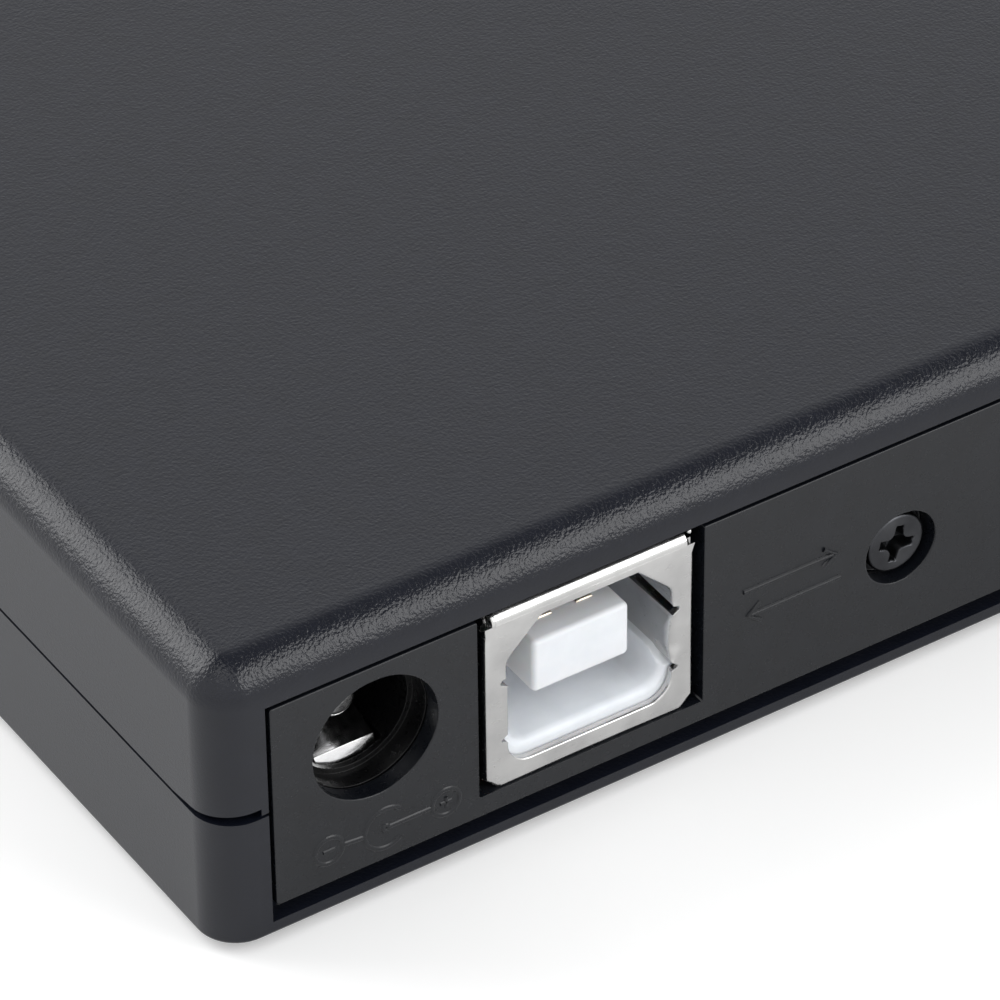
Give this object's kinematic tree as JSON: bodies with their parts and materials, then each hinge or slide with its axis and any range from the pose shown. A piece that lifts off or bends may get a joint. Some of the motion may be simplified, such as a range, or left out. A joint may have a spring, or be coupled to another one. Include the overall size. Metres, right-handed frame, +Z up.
{
  "type": "external disc drive",
  "caption": "Slim external disc drive: two-shell black case, rear panel with USB type B and power sockets, sliding disc tray at the front.",
  "frame": {"origin": "on the surface the feet stand on, under the middle of the case", "axes": "+Z up, +Y towards the connectors at the rear, the tray comes out along -Y"},
  "size_m": [0.136, 0.158, 0.0174],
  "materials": {
    "case_plastic": "fine stippled moulding",
    "panel_plastic": "smooth satin moulding",
    "black_screw": "black oxide",
    "foot_rubber": "soft matt",
    "circuit_board": "green solder mask",
    "chip_black": "moulded epoxy",
    "component_metal": "drawn cans",
    "connector_black": "moulded",
    "socket_metal": "tinned sheet",
    "socket_white": "moulded",
    "contact_gold": "gold flash",
    "jack_metal": "nickel plated",
    "chassis_steel": "zinc plated sheet",
    "small_steel": "bright",
    "tray_plastic": "fine grain",
    "bezel_plastic": "satin",
    "light_clear": "clear",
    "switch_grey": "moulded",
    "ribbon_film": "polyimide film",
    "ground_steel": "ground",
    "motor_metal": "drawn can",
    "motor_copper": "wound core",
    "hub_white": "moulded",
    "sled_alloy": "die cast",
    "holder_black": "moulded",
    "lens_glass": "coated"
  },
  "bodies": {
    "case": {"top_cover": "case_plastic", "bottom_cover": "case_plastic", "rear_panel": "panel_plastic", "panel_screws": "black_screw", "case_screws": "black_screw", "rubber_feet": "foot_rubber", "bridge_board": "circuit_board", "bridge_chip": "chip_black", "board_components": "component_metal", "bridge_connector": "connector_black", "usb_socket_shell": "socket_metal", "usb_socket_insulator": "socket_white", "usb_socket_contacts": "contact_gold", "jack_body": "connector_black", "jack_pin": "jack_metal", "jack_leaf_contact": "jack_metal", "chassis_pan": "chassis_steel", "chassis_cover": "chassis_steel", "chassis_screws": "small_steel", "drive_connector": "connector_black", "latch_post": "small_steel", "left_rail_guide": "chassis_steel", "right_rail_guide": "chassis_steel", "flex_ribbon": "ribbon_film"},
    "rails": {"left_rail": "small_steel", "right_rail": "small_steel"},
    "drawer": {"tray": "tray_plastic", "bezel": "bezel_plastic", "light_pipe": "light_clear", "tray_bottom_plate": "chassis_steel", "tray_top_plate": "tray_plastic", "main_board": "circuit_board", "main_chips": "chip_black", "front_board": "circuit_board", "eject_switch": "switch_grey", "latch_solenoid": "component_metal", "ejector_pin": "small_steel", "ejector_spring": "small_steel", "traverse_base": "chassis_steel", "dampers": "foot_rubber", "guide_rods": "ground_steel", "sled_motor": "motor_metal", "spindle_stator": "motor_copper"},
    "button": {"eject_button": "bezel_plastic"},
    "spindle": {"spindle_rotor": "ground_steel", "turntable_pad": "foot_rubber", "clamp_hub": "hub_white"},
    "sled": {"pickup_sled": "sled_alloy"},
    "lens": {"lens_holder": "holder_black", "objective_lens": "lens_glass"},
    "screw_shaft": {"lead_screw": "ground_steel"},
    "latch_lever": {"tray_latch": "switch_grey"}
  },
  "joints": [
    {"name": "tray_slide", "type": "slide", "parent": "case", "child": "drawer", "axis": [0, -1, 0], "range_m": [0, 0.128], "deforming": ["flex_ribbon"]},
    {"name": "rail_slide", "type": "slide", "parent": "case", "child": "rails", "axis": [0, -1, 0], "range_m": [0, 0.064]},
    {"name": "eject_press", "type": "slide", "parent": "drawer", "child": "button", "axis": [0, 1, 0], "range_m": [0, 0.0006], "stiffness_N_per_m": 1500},
    {"name": "spindle_spin", "type": "hinge", "parent": "drawer", "child": "spindle", "pos_m": [0, -0.0125, 0.0114], "axis": [0, 0, 1], "continuous": true},
    {"name": "pickup_slide", "type": "slide", "parent": "drawer", "child": "sled", "axis": [-0.7071, -0.7071, 0], "range_m": [0, 0.0335]},
    {"name": "screw_turn", "type": "hinge", "parent": "drawer", "child": "screw_shaft", "pos_m": [0.01344, -0.02593, 0.0076], "axis": [-0.7071, -0.7071, 0], "range_deg": [0, 4021]},
    {"name": "lens_focus", "type": "slide", "parent": "sled", "child": "lens", "axis": [0, 0, 1], "range_m": [-0.0004, 0.0004], "stiffness_N_per_m": 60},
    {"name": "latch_turn", "type": "hinge", "parent": "drawer", "child": "latch_lever", "pos_m": [0.047, -0.0657, 0.006], "axis": [0, 0, 1], "range_deg": [0, 18], "stiffness_Nm_per_rad": 0.004}
  ],
  "couplings": [
    {"joint": "rail_slide", "follows": "tray_slide", "ratio": 0.5},
    {"joint": "screw_turn", "follows": "pickup_slide", "rad_per_m": 2094.4}
  ]
}
